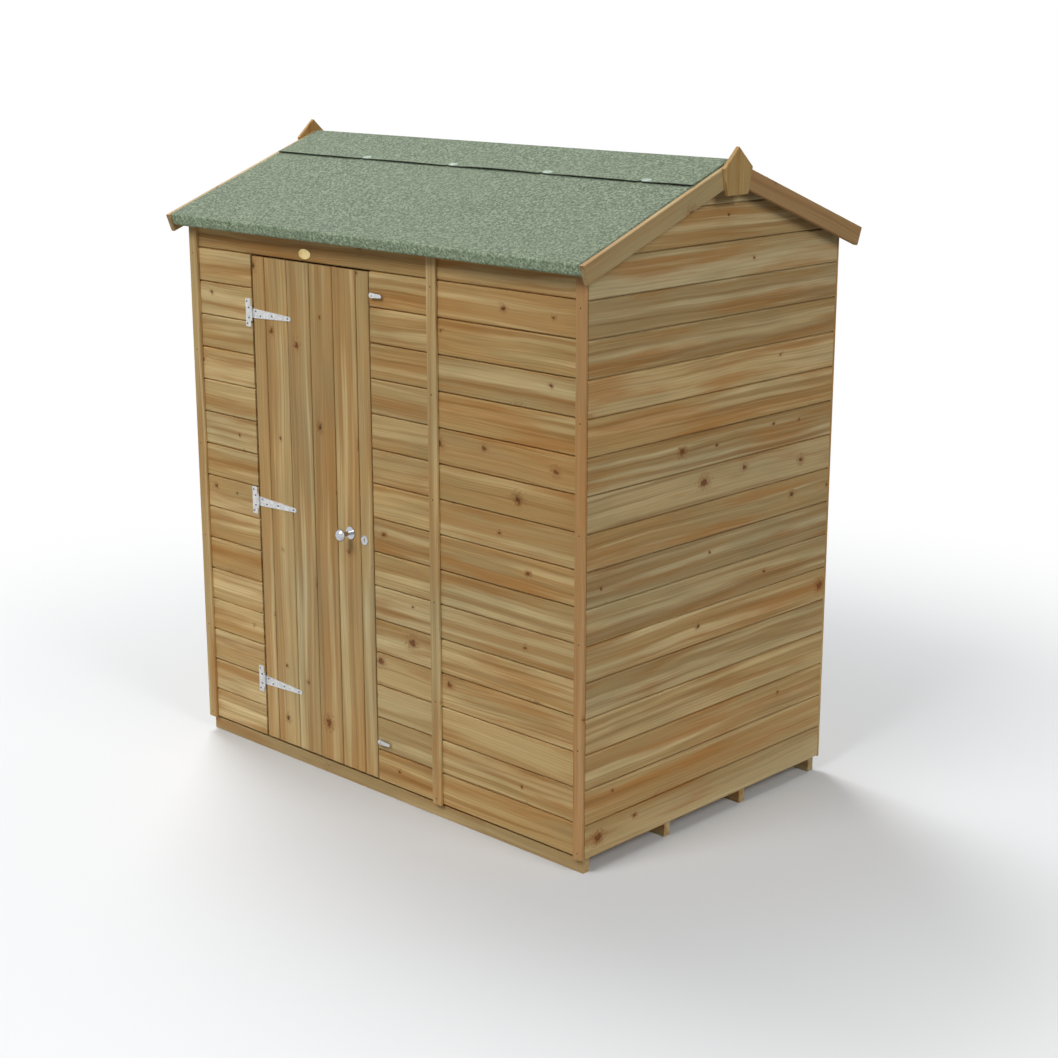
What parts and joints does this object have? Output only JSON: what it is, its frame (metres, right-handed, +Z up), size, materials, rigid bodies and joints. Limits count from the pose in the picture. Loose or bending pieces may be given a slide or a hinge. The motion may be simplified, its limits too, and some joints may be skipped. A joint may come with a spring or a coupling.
{
  "type": "wooden garden shed",
  "caption": "Small apex garden shed of horizontal boards on floor bearers, with a boarded door on T-hinges in its long side, turn buttons, bargeboards, finials and a felted roof.",
  "frame": {"origin": "middle of the building's plan, on the ground under the bearers", "axes": "+Z up, +X along the door wall to the right seen from outside, +Y from the door wall to the back wall"},
  "size_m": [1.944, 1.3218, 2.143],
  "materials": {
    "cladding": "matt pressure-treated softwood boards",
    "trim": "matt sawn and planed softwood",
    "framing": "sawn softwood battens",
    "deck": "planed tongue-and-groove boards",
    "roof_boards": "sawn boards",
    "felt": "green-grey mineral felt",
    "zinc": "bright zinc plate",
    "knob_metal": "satin metal"
  },
  "bodies": {
    "shed": {"floor_bearers": "framing", "floor_deck": "deck", "front_wall_left": "cladding", "front_wall_header": "cladding", "front_wall_right": "cladding", "front_wall_plain": "cladding", "back_wall_wide": "cladding", "back_wall_narrow": "cladding", "left_gable_wall": "cladding", "right_gable_wall": "cladding", "front_plates": "framing", "front_studs": "framing", "back_plates": "framing", "back_studs": "framing", "left_gable_posts": "framing", "left_gable_rails": "framing", "right_gable_posts": "framing", "right_gable_rails": "framing", "front_cover_strip": "trim", "back_cover_strip": "trim", "front_corner_trims": "trim", "back_corner_trims": "trim", "front_roof_panel": "roof_boards", "back_roof_panel": "roof_boards", "eave_battens": "framing", "verge_battens": "framing", "front_felt": "felt", "back_felt": "felt", "ridge_felt": "felt", "front_left_bargeboard": "trim", "back_left_bargeboard": "trim", "front_right_bargeboard": "trim", "back_right_bargeboard": "trim", "finials": "trim", "hinge_plates": "zinc", "turn_button_pivots": "zinc"},
    "door": {"door_boards": "cladding", "door_ledges": "framing", "door_braces": "framing", "hinge_straps": "zinc", "door_knob": "knob_metal", "lock_escutcheon": "knob_metal"},
    "lower_button": {"lower_turn_button": "zinc"},
    "upper_button": {"upper_turn_button": "zinc"}
  },
  "joints": [
    {"name": "door_hinge", "type": "hinge", "parent": "shed", "child": "door", "pos_m": [-0.596, -0.596, 0.9], "axis": [0, 0, -1], "range_deg": [0, 170]},
    {"name": "lower_button_turn", "type": "hinge", "parent": "shed", "child": "lower_button", "pos_m": [0.008, -0.599, 0.19], "axis": [0, 1, 0], "range_deg": [0, 180]},
    {"name": "upper_button_turn", "type": "hinge", "parent": "shed", "child": "upper_button", "pos_m": [0.008, -0.599, 1.67111], "axis": [0, 1, 0], "range_deg": [0, 180]}
  ]
}
